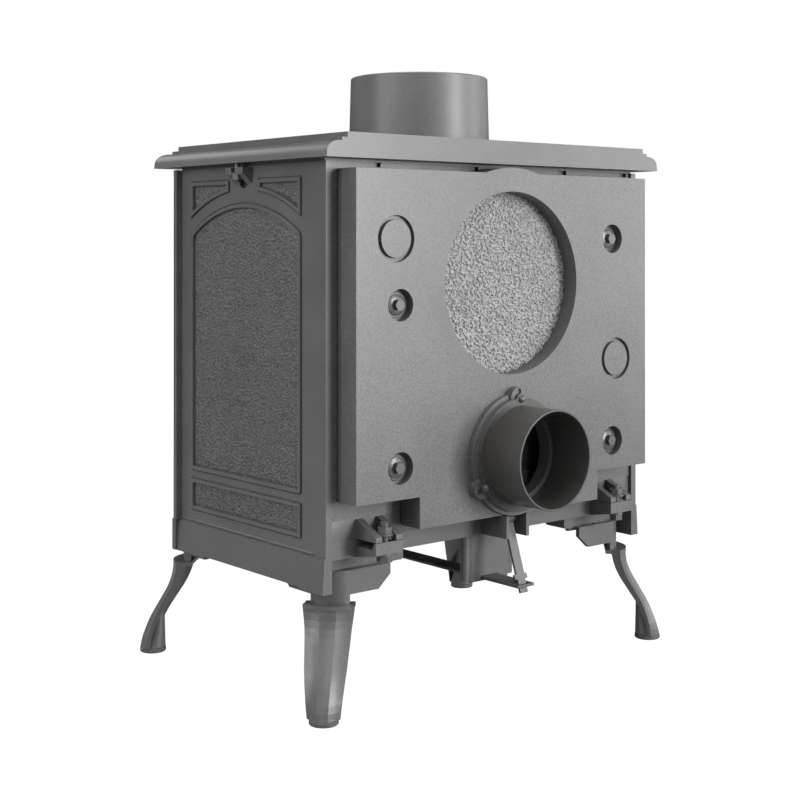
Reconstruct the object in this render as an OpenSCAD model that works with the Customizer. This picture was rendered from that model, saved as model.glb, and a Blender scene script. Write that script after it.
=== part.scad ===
// Cast-iron box stove on four splayed legs, with a rear air box and an outside-air inlet.
// Millimetres. Seen from the front, +X is right, -Y is the front, +Y the rear, +Z up.
// The origin is on the floor, under the middle of the overall width and depth.
// Inside shell(), y is counted from the middle of the firebox shell.

/* [Overall] */
// Shift of the firebox shell from the middle of the overall depth
shell_y = -8; // [-8:1:-8]
// Height of the hob surface above the floor
hob_z = 549.5; // [549:0.5:555]
// Height of the top of the flue collar above the floor
collar_top_z = 624.5; // [610:0.5:640]

/* [Firebox shell] */
// Half of the width across the outside of the side plates
side_x = 218.5; // [218.5:0.5:219]
// Thickness of the side plates
side_t = 7.5; // [7:0.5:7.5]
// Front edge of the side plates
side_front = -125; // [-125:1:-125]
// Rear edge of the side plates
side_rear = 132; // [131:1:133]
// Height of the top edge of the side, back and front plates
wall_top = 523; // [520:0.5:523]
// Height of the lower edge of the skirts
skirt_low = 115.5; // [112:0.5:118]
// Depth of the skirts
skirt_h = 33.5; // [30:0.5:34]

/* [Base castings] */
// Lower edge of the base plate
base_low = 145.5; // [144:0.5:146]
// Top of the base plate
base_top = 163; // [163:0.5:163]
// Top of the ash chamber frame
ash_top = 182.5; // [182:0.5:183]
// Rear face of the base plate rail
rail_rear = 128; // [127:1:128]
// Distance of the clamp lugs from the middle
lug_x = 163.5; // [155:0.5:170]

/* [Rear air box] */
// Rear face of the air box
box_rear = 159; // [158:0.5:160]
// Half of the width of the air box
box_x = 203.5; // [200:0.5:205]
// Height of the middle of the rear flue opening
flue_z = 404.5; // [400:0.5:408]
// Radius of the opening round the blanking plate
flue_open_r = 93; // [88:0.5:94]
// Height of the middle of the air inlet
inlet_z = 230.5; // [229:0.5:232]
// Outer radius of the air inlet tube
inlet_r = 50; // [50:0.5:50]
// Rear end of the air inlet tube
inlet_end = 219; // [219:1:219]

/* [Flue collar] */
// Distance of the collar behind the middle of the shell
collar_y = 11; // [5:1:15]
// Outer radius of the collar at the hob
collar_low_r = 77; // [76:0.5:78]
// Outer radius of the collar at its top
collar_top_r = 75; // [74.5:0.5:76]
// Radius of the collar bore
collar_bore_r = 67; // [66:0.5:67]

/* [Legs] */
// Distance of each foot from the middle of the width
foot_x = 227.5; // [227.5:0.5:227.5]
// Distance of the rear feet behind the middle of the shell
foot_rear = 141; // [141:0.5:141]
// Distance of the front feet before the middle of the shell
foot_front = 170; // [170:0.5:170]
// Radius of the foot pads
pad_r = 14; // [13:0.5:15]

/* [Door] */
// Half of the width of the door
door_x = 170; // [168:1:170]
// Lower edge of the door
door_low = 204; // [203:1:206]
// Upper edge of the door
door_top = 500; // [498:1:500]
// Distance of the hinge line from the middle
hinge_x = 183; // [183:1:183]

/* [Controls] */
// Lean of the air lever at rest
lever_lean = 18.3; // [18.3:0.1:18.3]
// Height of the lever pivot
pivot_z = 163; // [163:0.5:163]
// Distance of the lever pivot behind the middle of the shell
pivot_y = 150; // [150:0.5:150]

/* [Hidden] */
$fn = 72;
cast_dark = [0.33, 0.33, 0.33];
cast_mid = [0.45, 0.45, 0.45];
cast_pale = [0.60, 0.60, 0.60];
cast_disc = [0.72, 0.72, 0.71];
steel = [0.55, 0.54, 0.52];
steel_dark = [0.25, 0.25, 0.25];
brick = [0.80, 0.72, 0.58];
rope = [0.86, 0.85, 0.80];
pane = [0.75, 0.85, 0.88, 0.5];
run_gap = 0.05;      // radial clearance of a pin or shaft that turns or slides
free_gap = 0.3;      // clearance of a face that moves past another
side_in = side_x - side_t;
back_front = 121;
back_rear = 129;
plate_front = -131;  // front face of the front frame
plate_half = 225.3;  // half of the width of the front frame
panel_y = -6;        // middle of the panels on the side plates
panel_half = 99;
arch_r = 178.5;
arch_z = 306.5;      // height of the middle of the side arch
spandrel_r = 192.5;
bead = 4;
quirk_out = 1;       // groove round each bead, outside and inside the panel's outline
quirk_in = 0.5;
quirk_deep = 1.3;
box_wall = 5;
box_face = 6;
box_gap = 1.5;       // gap between the air box and the back plate
pocket_floor = 150.3; // floor of the bolt pockets in the rear face of the air box
pocket_wall = 3;
groove_deep = 4;
port_r = 43.5;
disc_rear = 139;      // rear face of the blanking plate
disc_thick = 5.8;
bolt_spots = [[149.5, 386], [149.5, 230.5], [-149.5, 449.5], [-149.5, 230.5]];
blank_spots = [[155, 449.5], [-155, 319.5]];
lug_turns = [90, -30, 210];
screw_ring = 56.5;
leg_corner_r = 27;
leg_wall = 5;
leg_x = side_in - 0.1 - leg_corner_r;
leg_reach = 61.4;    // from the middle of the bracket corner to the foot
rear_leg_y = foot_rear - leg_reach * cos(45);
front_leg_y = -foot_front + leg_reach * cos(45);
wing_top = 132.7;
wing_low = 109.6;
neck_low = 102;
pad_h = 5;
door_front = -147;
door_back = -133;
hinge_y = -143;
window_half = 116;
window_low = 262;
window_top = 462;
window_r = 225;
glass_half = 124;
shaft_x = 139;
shaft_z = 350;
bar_half = 11.5;
bar_low = 98;
bar_top = 101;
bar_end = 177;
bar_front = -190;
pull_x = 175;
vent_x = [-80, -48, 48, 80];
pull_z = 190.5;

// Placing and drawing helpers

module shell() {
    translate([0, shell_y, 0]) children();
}

module slab(x, y, z) {
    translate([x[0], y[0], z[0]]) cube([x[1] - x[0], y[1] - y[0], z[1] - z[0]]);
}

module both_sides() {
    children();
    mirror([1, 0, 0]) children();
}

// Outline in X and Z, drawn out along Y
module along_y(y, outline) {
    translate([0, y[1], 0]) rotate([90, 0, 0]) linear_extrude(y[1] - y[0]) polygon(outline);
}

// Outline in Y and Z, drawn out along X
module along_x(x, outline) {
    translate([x[0], 0, 0]) rotate([90, 0, 90]) linear_extrude(x[1] - x[0]) polygon(outline);
}

module rod_y(r, x, z, y) {
    translate([x, y[1], z]) rotate([90, 0, 0]) cylinder(r = r, h = y[1] - y[0]);
}

module rod_x(r, y, z, x) {
    translate([x[0], y, z]) rotate([0, 90, 0]) cylinder(r = r, h = x[1] - x[0]);
}

module rod_z(r, x, y, z) {
    translate([x, y, z[0]]) cylinder(r = r, h = z[1] - z[0]);
}

module hex_z(r, x, y, z) {
    translate([x, y, z[0]]) cylinder(r = r, h = z[1] - z[0], $fn = 6);
}

module hex_y(r, x, z, y) {
    translate([x, y[1], z]) rotate([90, 0, 0]) cylinder(r = r, h = y[1] - y[0], $fn = 6);
}

// Turned shape about an axis along Y; the outline holds radius and distance forward
module turned_y(x, y, z, outline) {
    translate([x, y, z]) rotate([90, 0, 0]) rotate_extrude() polygon(outline);
}

function arc(cx, cy, r, from, to, steps) =
    [for (i = [0 : steps]) let (a = from + (to - from) * i / steps)
        [cx + r * cos(a), cy + r * sin(a)]];

function oval(cx, cy, rx, ry, from, to, steps) =
    [for (i = [0 : steps]) let (a = from + (to - from) * i / steps)
        [cx + rx * cos(a), cy + ry * sin(a)]];

// Knob outline: neck, collar and a round head of radius r
function knob_outline(r, length) = concat(
    [[0, 0], [r * 0.55, 0], [r * 0.55, length * 0.12], [r * 0.42, length * 0.2],
     [r * 0.42, length * 0.42]],
    oval(0, length * 0.7, r, length * 0.3, -65, 90, 10));

// Hob and flue collar

module hob_section() {
    edge_x = 232;
    step_x = 218.5;
    upper_x = 208;
    right = concat([[edge_x + 0.5, wall_top + 2.5]],
        oval(step_x, wall_top + 7, edge_x - step_x, 11, 0, 90, 8),
        [[214.5, hob_z - 8.3], [214.5, hob_z - 5.3], [upper_x, hob_z - 5.1], [upper_x, hob_z]]);
    left = [for (i = [len(right) - 1 : -1 : 0]) [-right[i][0], right[i][1]]];
    along_y([-160, 152], concat(right, left));
}

module hob_front_section() {
    outline = concat(
        [[152, hob_z], [152, wall_top + 2.5], [-160, wall_top + 2.5]],
        [for (p = oval(-153, wall_top + 7, 7, 11, 180, 90, 6)) p],
        [[-152, hob_z - 8.3], [-152, hob_z - 5.3], [-150, hob_z - 5.1], [-150, hob_z]]);
    along_x([-240, 240], outline);
}

// Corbelled lug with a hob clamp bolt, on the right
hob_lug_x = 226;

module top_plate() {
    color(cast_mid) shell() difference() {
        union() {
            intersection() {
                hob_section();
                hob_front_section();
            }
            difference() {
                slab([-216, 216], [-129, 127], [wall_top, wall_top + 2.6]);
                slab([-204, 204], [-119, 117], [wall_top - 1, wall_top + 2.5]);
            }
        }
        rod_z(collar_bore_r, 0, collar_y, [wall_top, hob_z + 1]);
        for (a = [30, 150, 270]) translate([0, collar_y, 0]) rotate([0, 0, a])
            rod_z(3.3, 71.5, 0, [wall_top, hob_z + 1]);
        both_sides() rod_z(3.3, hob_lug_x, panel_y, [wall_top, wall_top + 12]);
    }
}

module flue_collar() {
    lip = 1;
    color(cast_mid) shell() translate([0, collar_y, 0]) difference() {
        rotate_extrude($fn = 120) polygon([
            [collar_bore_r, hob_z], [collar_low_r, hob_z], [collar_top_r, collar_top_z - lip],
            [collar_top_r - lip, collar_top_z], [collar_bore_r, collar_top_z]]);
        for (a = [30, 150, 270]) rotate([0, 0, a]) rod_z(3.3, 71.5, 0, [hob_z - 1, hob_z + 14]);
    }
}

module flue_collar_bolts() {
    color(steel) shell() translate([0, collar_y, 0]) for (a = [30, 150, 270])
        rotate([0, 0, a]) {
            rod_z(3, 71.5, 0, [wall_top + 2.5, hob_z + 13]);
            hex_z(5.5, 71.5, 0, [wall_top - 1.5, wall_top + 2.5]);
        }
}

// Side plates

// Panel with a segmental head; the haunches are rounded and the lower corners eased
function arch_outline(cx, cz, r, half, low, haunch, inset) = let (
    ease = max(3 - inset * 0.5, 1), h = haunch - inset,
    hx = half - haunch, hz = sqrt(pow(r - haunch, 2) - hx * hx), turn = atan2(hz, hx)) concat(
    arc(cx + half - inset - ease, low + inset + ease, ease, -90, 0, 3),
    arc(cx + hx, cz + hz, h, 0, turn, 6),
    arc(cx, cz, r - inset, turn + 2, 178 - turn, 24),
    arc(cx - hx, cz + hz, h, 180 - turn, 180, 6),
    arc(cx - half + inset + ease, low + inset + ease, ease, 180, 270, 3));

module arch_block(x, inset) {
    along_x(x, arch_outline(panel_y, arch_z, arch_r, panel_half, 205, 12, inset));
}

function spandrel_outline(cx, cz, r, near, far, top, inset) = let (
    a = acos((far - inset) / (r + inset)), b = acos((near + inset) / (r + inset))) concat(
    arc(cx, cz, r + inset, a, b, 12), [[cx + near + inset, top - inset],
    [cx + far - inset, top - inset]]);

module spandrel_block(x, inset) {
    along_x(x, spandrel_outline(panel_y, arch_z, spandrel_r, 26, panel_half, 509, inset));
}

module low_panel_block(x, inset) {
    slab(x, [panel_y - panel_half + inset, panel_y + panel_half - inset],
        [163 + inset, 196 - inset]);
}

module side_panels(x, inset) {
    arch_block(x, inset);
    low_panel_block(x, inset);
    spandrel_block(x, inset);
    translate([0, 2 * panel_y, 0]) mirror([0, 1, 0]) spandrel_block(x, inset);
}

module side_plate_right() {
    proud = 1.5;
    sunk = 2;
    skirt_top = skirt_low + skirt_h;
    color(cast_dark) shell() difference() {
        union() {
            slab([side_in, side_x], [side_front, side_rear], [skirt_top, wall_top]);
            along_y([-129, side_rear], [[side_in, skirt_low], [222, skirt_low],
                [220, skirt_top], [side_in, skirt_top]]);
            along_y([side_front, 113], concat([[side_x - 1, skirt_top + 3.4]],
                arc(side_x, skirt_top + 2.2, 1.2, 90, -90, 6), [[side_x - 1, skirt_top + 1]]));
            difference() {
                side_panels([side_x - 2, side_x + proud], quirk_in);
                side_panels([side_x - 3, side_x + proud + 1], bead);
            }
            hob_lug();
        }
        difference() {
            side_panels([side_x - quirk_deep, side_x + proud + 1], -quirk_out);
            side_panels([side_x - 2, side_x + proud + 2], quirk_in);
        }
        side_panels([side_x - sunk, side_x + proud + 1], bead);
        along_x([side_in - 1, 224], [[-76, skirt_low - 1], [-74, skirt_low + 1.6],
            [94, skirt_low + 1.6], [96, skirt_low - 1]]);
        rod_x(10, panel_y, 510.4, [side_x - 5, side_x]);
        rod_z(3.3, hob_lug_x, panel_y, [500, wall_top]);
        slab([219, 240], [-130, -128.9], [skirt_low - 1, skirt_low + 5]);
    }
}

module hob_lug() {
    top = wall_top - 2;
    for (y = [panel_y - 15.5, panel_y + 5.5]) along_y([y, y + 10], [[side_x - 1, top],
        [side_x + 12, top], [side_x + 12, top - 5.5], [side_x - 1, top - 17]]);
    slab([side_x - 1, side_x + 12], [panel_y - 15, panel_y + 15], [top - 7, top - 5]);
}

module side_plate_left() {
    color(cast_dark) mirror([1, 0, 0]) side_plate_right();
}

module hob_clamp_bolts() {
    color(steel) shell() both_sides() {
        rod_z(3, hob_lug_x, panel_y, [509, wall_top + 11]);
        hex_z(5.6, hob_lug_x, panel_y, [508.6, 514]);
    }
}

// Back plate and rear air box

flap_x = 42;
port_half = 36;
port_z = [187, 203];

module back_plate() {
    seat_gap = 0.4;
    lean = tan(lever_lean);
    seat_low = pivot_y - 1.42 - lean * (184 - pivot_z + 0.47) - seat_gap;
    seat_high = pivot_y - 1.42 - lean * (207 - pivot_z + 0.47) - seat_gap;
    color(cast_pale) shell() difference() {
        union() {
            slab([-side_in + 0.2, side_in - 0.2], [back_front, back_rear], [ash_top, wall_top]);
            rod_y(90, 0, flue_z, [back_rear - 1, disc_rear - disc_thick]);
            for (s = bolt_spots) rod_y(9, s[0], s[1], [back_rear - 1, pocket_floor - pocket_wall]);
            along_x([-40, 40], [[back_rear - 1, 184], [seat_low, 184], [seat_high, 207],
                [back_rear - 1, 207]]);
        }
        rod_y(76, 0, flue_z, [back_front - 1, 140]);
        for (s = bolt_spots) rod_y(3.6, s[0], s[1], [back_front - 1, box_rear]);
        for (a = [90, 210, 330])
            rod_y(3.3, 83 * cos(a), flue_z + 83 * sin(a), [back_front - 1, 140]);
        slab([-port_half, port_half], [back_front - 1, 145], port_z);
        for (x = [-90 : 30 : 90]) rod_y(3.5, x, 352, [back_front - 1, back_front + 3]);
        for (n = [[150, 163], [21, 100], [-109, -95], [-206, -172]])
            slab(n, [back_rear - 4, back_rear + 1], [wall_top - 4.5, wall_top + 1]);
    }
}

box_low = 200.5;
box_mid_low = 169.5;
box_top = 516;
box_mid_half = 125.5;

function box_outline(inset) = [
    [-box_x + inset, box_low + inset], [-box_mid_half + inset, box_low + inset],
    [-box_mid_half + inset, box_mid_low + inset], [box_mid_half - inset, box_mid_low + inset],
    [box_mid_half - inset, box_low + inset], [box_x - inset, box_low + inset],
    [box_x - inset, box_top - inset], [-box_x + inset, box_top - inset]];

module box_form(y, inset) {
    along_y(y, box_outline(inset));
    rod_y(117.5 - inset, 0, flue_z, [y[0], y[1]], $fn = 144);
}

module rear_air_box() {
    front = back_rear + box_gap;
    inner_face = box_rear - box_face;
    color(cast_pale) shell() difference() {
        union() {
            difference() {
                box_form([front, box_rear], 0);
                box_form([front - 1, inner_face], box_wall);
            }
            rod_y(flue_open_r + 5, 0, flue_z, [disc_rear + 0.2, inner_face + 1], $fn = 120);
            for (s = bolt_spots) rod_y(18.5, s[0], s[1], [pocket_floor - pocket_wall, inner_face + 1]);
            for (x = [-50, 46]) slab([x, x + 4], [front, inner_face + 1], [172, 204]);
        }
        rod_y(flue_open_r, 0, flue_z, [front - 1, box_rear + 1], $fn = 120);
        rod_y(port_r, 0, inlet_z, [inner_face - 1, box_rear + 1]);
        slab([-14, 14], [front - 1, inner_face], [box_mid_low - 1, box_mid_low + 6]);
        for (s = bolt_spots) {
            rod_y(4.2, s[0], s[1], [pocket_floor - 4, box_rear + 1]);
            rod_y(15.5, s[0], s[1], [pocket_floor, box_rear + 1]);
        }
        for (s = blank_spots) difference() {
            rod_y(22.5, s[0], s[1], [box_rear - groove_deep, box_rear + 1]);
            rod_y(18.4, s[0], s[1], [box_rear - groove_deep - 1, box_rear + 2]);
        }
        for (a = lug_turns) rod_y(2.8, screw_ring * cos(a), inlet_z + screw_ring * sin(a),
            [inner_face - 1, box_rear + 1]);
    }
}

// Hexagon flange bolts, each with a captive washer at the bottom of its pocket
module air_box_bolts() {
    color(steel) shell() for (s = bolt_spots) {
        rod_y(3.3, s[0], s[1], [back_front + 2, pocket_floor + 1]);
        translate([s[0], pocket_floor, s[1]]) rotate([-90, 0, 0]) rotate_extrude() polygon([
            [0, 0], [12.6, 0], [12.6, 1.1], [12.2, 1.5], [10.3, 1.5], [10.3, 2.6], [7, 3.7], [0, 3.7]]);
        hex_y(5.8, s[0], s[1], [pocket_floor + 3, box_rear - 0.3]);
    }
}

module flue_blanking_plate() {
    color(cast_disc) shell() difference() {
        rod_y(flue_open_r + 3.5, 0, flue_z, [disc_rear - disc_thick, disc_rear], $fn = 120);
        for (a = [90, 210, 330])
            rod_y(3.3, 83 * cos(a), flue_z + 83 * sin(a),
                [disc_rear - disc_thick - 1, disc_rear - 1.8]);
    }
}

module blanking_plate_bolts() {
    color(steel) shell() for (a = [90, 210, 330]) {
        rod_y(3, 83 * cos(a), flue_z + 83 * sin(a), [back_front - 1, disc_rear - 2.3]);
        hex_y(5.5, 83 * cos(a), flue_z + 83 * sin(a), [back_front - 4, back_front]);
    }
}

// Air inlet

module inlet_flange() {
    color(cast_pale) shell() difference() {
        union() {
            rod_y(61.8, 0, inlet_z, [box_rear, 164], $fn = 120);
            rod_y(57.6, 0, inlet_z, [163, 167.6], $fn = 120);
            for (a = lug_turns) rod_y(11, 57.5 * cos(a), inlet_z + 57.5 * sin(a), [box_rear, 167]);
        }
        rod_y(port_r, 0, inlet_z, [box_rear - 1, 170]);
        for (a = lug_turns) {
            rod_y(3, 64 * cos(a), inlet_z + 64 * sin(a), [165, 168]);
            rod_y(2.8, screw_ring * cos(a), inlet_z + screw_ring * sin(a), [box_rear - 1, 170]);
        }
    }
}

module inlet_tube() {
    wall = 2;
    root = 167.6;
    color(cast_dark) shell() difference() {
        union() {
            rod_y(inlet_r, 0, inlet_z, [root, inlet_end], $fn = 120);
            rod_y(57.6, 0, inlet_z, [root, 170.3], $fn = 120);
            for (a = lug_turns) rod_y(5.5, screw_ring * cos(a), inlet_z + screw_ring * sin(a),
                [root, 170.3]);
        }
        rod_y(inlet_r - wall, 0, inlet_z, [root - 1, inlet_end + 1], $fn = 120);
        for (a = lug_turns)
            rod_y(2.8, screw_ring * cos(a), inlet_z + screw_ring * sin(a), [root - 1, 171]);
    }
}

module inlet_screws() {
    head_y = 170.3;
    color(steel) shell() for (a = lug_turns)
        translate([screw_ring * cos(a), 0, inlet_z + screw_ring * sin(a)]) {
            rod_y(2.5, 0, 0, [box_rear - 5, head_y]);
            translate([0, head_y, 0]) rotate([-90, 0, 0]) rotate_extrude()
                polygon(concat([[0, 0]], oval(0, 0, 3.8, 3.6, 0, 90, 6)));
        }
}

// Front frame

module front_frame() {
    back = side_front;
    color(cast_mid) shell() difference() {
        union() {
            slab([-plate_half, plate_half], [plate_front, back],
                [skirt_low + skirt_h, wall_top]);
            for (z = [250, 408]) {
                slab([-hinge_x - 8, -hinge_x + 8], [hinge_y, plate_front + 1], [z, z + 11.7]);
                rod_z(8, -hinge_x, hinge_y, [z, z + 11.7]);
            }
            for (z = [[500.8, 502.7, 500.8, 504.5], [518.3, 520.5, 516.5, 520.5]]) {
                slab([-150, 150], [plate_front - 6, plate_front + 1], [z[0], z[1]]);
                slab([-150, 150], [plate_front - 6, plate_front - 4], [z[2], z[3]]);
            }
        }
        slab([-150, 150], [plate_front - 1, back + 1], [222, 486]);
        slab([-150, 150], [plate_front - 1, back + 1], [base_top + 0.3, 190]);
        for (x = vent_x) slab([x - 8, x + 8], [plate_front - 1, back + 1], [508, 513]);
        for (z = [250, 408]) rod_z(4, -hinge_x, hinge_y, [z - 1, z + 12]);
        rod_y(4 + run_gap, pull_x, pull_z, [plate_front - 1, back + 1]);
    }
}

module latch_catch() {
    color(steel) shell() along_y([side_front, side_front + 4], [[150, 336], [166, 336],
        [166, 364], [150, 364]]);
}

module hinge_pins() {
    color(steel) shell() for (z = [250, 408]) {
        rod_z(4, -hinge_x, hinge_y, [z, z + 36]);
        translate([-hinge_x, hinge_y, z + 36]) cylinder(r1 = 4, r2 = 2.5, h = 2);
    }
}

// Base castings

slot_half = 4.5;
lug_end = 159;
lug_bolt_y = 151.5;
clamp_face = 148.2;     // face of the boss under which the head of the clamp bolt sits

module upper_lug() {
    half = 16.5;
    gusset = 8;
    flange = 5;
    for (x = [lug_x - half, lug_x + half - gusset]) along_x([x, x + gusset],
        [[rail_rear - 1, base_top], [lug_end, base_top], [lug_end, base_top + flange],
         [rail_rear + 2, ash_top - 1], [rail_rear - 1, ash_top - 1]]);
    difference() {
        slab([lug_x - half, lug_x + half], [rail_rear - 1, lug_end - 5.5],
            [base_top, base_top + flange]);
        slab([lug_x - slot_half, lug_x + slot_half], [lug_bolt_y, lug_end + 1],
            [base_top - 1, base_top + flange + 1]);
        rod_z(slot_half, lug_x, lug_bolt_y, [base_top - 1, base_top + flange + 1]);
    }
}

module ash_chamber_frame() {
    outer = side_in - 0.2;
    color(cast_pale) shell() {
        slab([-outer, outer], [109, rail_rear], [base_top, ash_top]);
        both_sides() {
            slab([outer - 17, outer], [side_front, 110], [base_top, ash_top]);
            upper_lug();
        }
    }
}

// The lower lug is a wedge that meets the upper one only on a lip along its rear edge and
// on a web along its inner side
module lower_lug() {
    half = 16.5;
    low = base_low + 5.5;
    top = base_top - 0.4;
    floor_top = top - 6.5;
    difference() {
        union() {
            along_x([lug_x - half, lug_x + half], [[rail_rear - 1, base_low], [rail_rear, base_low],
                [lug_end, low], [lug_end, top], [lug_end - 2.6, top], [lug_end - 5.2, floor_top],
                [rail_rear - 1, floor_top]]);
            slab([lug_x - half, lug_x - half + 3.5], [rail_rear - 1, lug_end - 3],
                [floor_top - 1, top]);
            rod_z(7.2, lug_x, lug_bolt_y, [clamp_face, low + 1]);
        }
        rod_z(4.3, lug_x, lug_bolt_y, [base_low - 2, top + 1]);
    }
}

// Seat for the leg bracket: a pad, a rear wall down to the bracket and a block at its inner end
module leg_seat(y) {
    rear = y + 17.4;
    slab([152.5, 205], [y - 21, rear], [138, base_low + 1]);
    slab([160, 203], [y - 19, rear], [wing_top, 139]);
    slab([127, 205], [rear - 5, rear], [wing_top, base_low + 1]);
    slab([127, leg_x - 18.4], [rear - 5, rear], [wing_top - 4.5, wing_top + 1]);
    along_y([92, 120.5], [[116.5, 133], [128.3, 133], [128.3, base_top - 6],
        [114.5, base_top - 6], [114.5, 135]]);
}

module base_plate() {
    outer = side_in - 0.2;
    rail = 8;
    floor_low = base_top - 7;
    color(cast_pale) shell() difference() {
        union() {
            slab([-outer, outer], [side_front, rail_rear], [floor_low, base_top]);
            slab([-outer, outer], [rail_rear - rail, rail_rear], [base_low, base_top]);
            slab([-outer, outer], [side_front, side_front + rail], [base_low, base_top]);
            slab([-190, 190], [-152, side_front + 1], [base_low, base_low + 3.5]);
            both_sides() {
                slab([outer - rail, outer], [side_front, rail_rear], [base_low, base_top]);
                along_x([12, 16], [[rail_rear - 1, 146.3], [165.3, 146.3], [165.3, 169.2],
                    [rail_rear + 0.4, 169.2], [rail_rear + 0.4, base_top - 1],
                    [rail_rear - 1, base_top - 1]]);
                lower_lug();
                leg_seat(rear_leg_y);
                slab([160, 200], [front_leg_y - 18, front_leg_y + 21], [wing_top, base_low + 1]);
                slab([180, 203], [rear_leg_y - 10, rear_leg_y + 10], [base_low, floor_low + 1]);
                slab([180, 200], [front_leg_y + 2, front_leg_y + 21], [base_low, floor_low + 1]);
            }
        }
        rod_x(3, pivot_y, pivot_z, [-20, 20]);
        both_sides() for (y = [rear_leg_y, front_leg_y])
            rod_z(4.3, leg_x, y, [wing_top - 1, base_low + 3.4]);
    }
}

function bow(inset) = let (half = 205 - inset, rise = 28, front = -186 + inset,
    r = (205 * 205 + rise * rise) / (2 * rise) - inset)
    [for (i = [-10 : 10]) let (x = half * i / 10) [x, front + r - sqrt(r * r - x * x)]];

function lip_outline(inset) = concat([[-224 + inset, -129.2], [-224 + inset, -136 + inset / 2]],
    bow(inset), [[224 - inset, -136 + inset / 2], [224 - inset, -129.2]]);

module ash_lip() {
    skirt_top = skirt_low + skirt_h;
    color(cast_mid) shell() difference() {
        union() {
            difference() {
                translate([0, 0, skirt_low]) linear_extrude(skirt_h) polygon(lip_outline(0));
                translate([0, -0.1, skirt_low - 1]) linear_extrude(skirt_h + 2)
                    polygon(concat(lip_outline(7), [[217, -120], [-217, -120]]));
            }
            translate([0, 0, skirt_top]) linear_extrude(7)
                polygon(concat([[-205, -131.2]], bow(0), [[205, -131.2]]));
            difference() {
                translate([0, 0, skirt_top + 6]) linear_extrude(4)
                    polygon(concat([[-205, -131.2]], bow(0), [[205, -131.2]]));
                translate([0, 0, skirt_top + 5]) linear_extrude(6)
                    polygon(concat([[-200, -120]], bow(5), [[200, -120]]));
            }
        }
        translate([0, 0, skirt_low - 262]) rod_y(270, 0, 0, [-200, -120], $fn = 180);
    }
}

module clamp_bolts() {
    color(steel) shell() both_sides() {
        rod_z(4, lug_x, lug_bolt_y, [clamp_face - 1, ash_top - 2]);
        translate([lug_x, lug_bolt_y, 0]) rotate([0, 0, 18]) hex_z(7.6, 0, 0,
            [clamp_face - 5.8, clamp_face]);
    }
}

module clamp_nuts() {
    low = base_top + 6.6;
    color(steel) shell() both_sides() difference() {
        hex_z(7.4, lug_x, lug_bolt_y, [low, low + 6.5]);
        rod_z(4.3, lug_x, lug_bolt_y, [low - 1, low + 8]);
    }
}

module clamp_washers() {
    low = base_top + 5;
    color(steel) shell() both_sides() difference() {
        rod_z(8.3, lug_x, lug_bolt_y, [low, low + 1.6]);
        rod_z(4.3, lug_x, lug_bolt_y, [low - 1, low + 3]);
    }
}

// Legs. In a leg's own frame the origin is the middle of the bracket corner and
// the blade leans out along +X.

leg_steps = 14;
leg_side = 12;

function mix(a, b, t) = a + (b - a) * t;

// Outer face of the blade, as distance from the foot, against height
function blade_out(z) = lookup(z, [[5, 14.3], [12, 12.9], [19, 10.8], [27, 7.6], [36, 3.9],
    [44, -0.6], [52, -5.4], [59, -9.4], [66, -13.6], [72, -17], [80, -20.3], [88, -22.4],
    [95, -23.4], [102, -23.6]]);
function blade_deep(z) = lookup(z, [[5, 9], [30, 10], [50, 12.5], [80, 16], [102, 18]]);
function blade_half(z) = lookup(z, [[5, 15.8], [47, 20.3], [80, 22.6], [102, 25.4]]);

function blade_bulge(z) = lookup(z, [[5, 11.5], [20, 9.5], [47, 7], [80, 7], [102, 8]]);

function blade_ring(z) = let (w = blade_half(z), out = blade_out(z), deep = blade_deep(z),
    bulge = blade_bulge(z), flute = lookup(z, [[5, 0.9], [20, 1.4], [95, 1.6], [102, 1.2]])) concat(
    [for (i = [-leg_side : leg_side]) let (a = i / leg_side)
        [leg_reach + out - bulge * a * a - flute * abs(cos(270 * a)), w * a, z]],
    [for (i = [leg_side : -1 : -leg_side]) let (a = i / leg_side * 0.94)
        [leg_reach + out - deep * 0.62 - bulge * 0.9 * a * a, w * a, z]]);

module blade() {
    heights = [for (i = [0 : leg_steps]) mix(pad_h, neck_low, i / leg_steps)];
    rings = [for (z = heights) blade_ring(z)];
    n = len(rings[0]);
    top = leg_steps * n;
    points = [for (ring = rings) for (p = ring) p];
    walls = [for (k = [0 : leg_steps - 1]) for (i = [0 : n - 1]) for (half = [0, 1])
        let (j = (i + 1) % n, a = k * n + i, b = a + n, c = (k + 1) * n + j, d = k * n + j)
        half == 0 ? [a, b, c] : [a, c, d]];
    caps = [for (i = [0 : n / 2 - 2]) for (face = [[i, i + 1, n - 2 - i], [i, n - 2 - i, n - 1 - i]])
        for (end = [0, 1]) end == 0 ? face : [top + face[2], top + face[1], top + face[0]]];
    polyhedron(points, concat(walls, caps), convexity = 4);
}

module bracket_wing() {
    long = 50;
    translate([0, leg_corner_r - leg_wall, 0]) rotate([90, 0, 180])
        linear_extrude(leg_wall) polygon([[0, wing_low], [long - 15, wing_low],
            [long, wing_low + 13], [long, wing_top], [0, wing_top]]);
}

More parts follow.
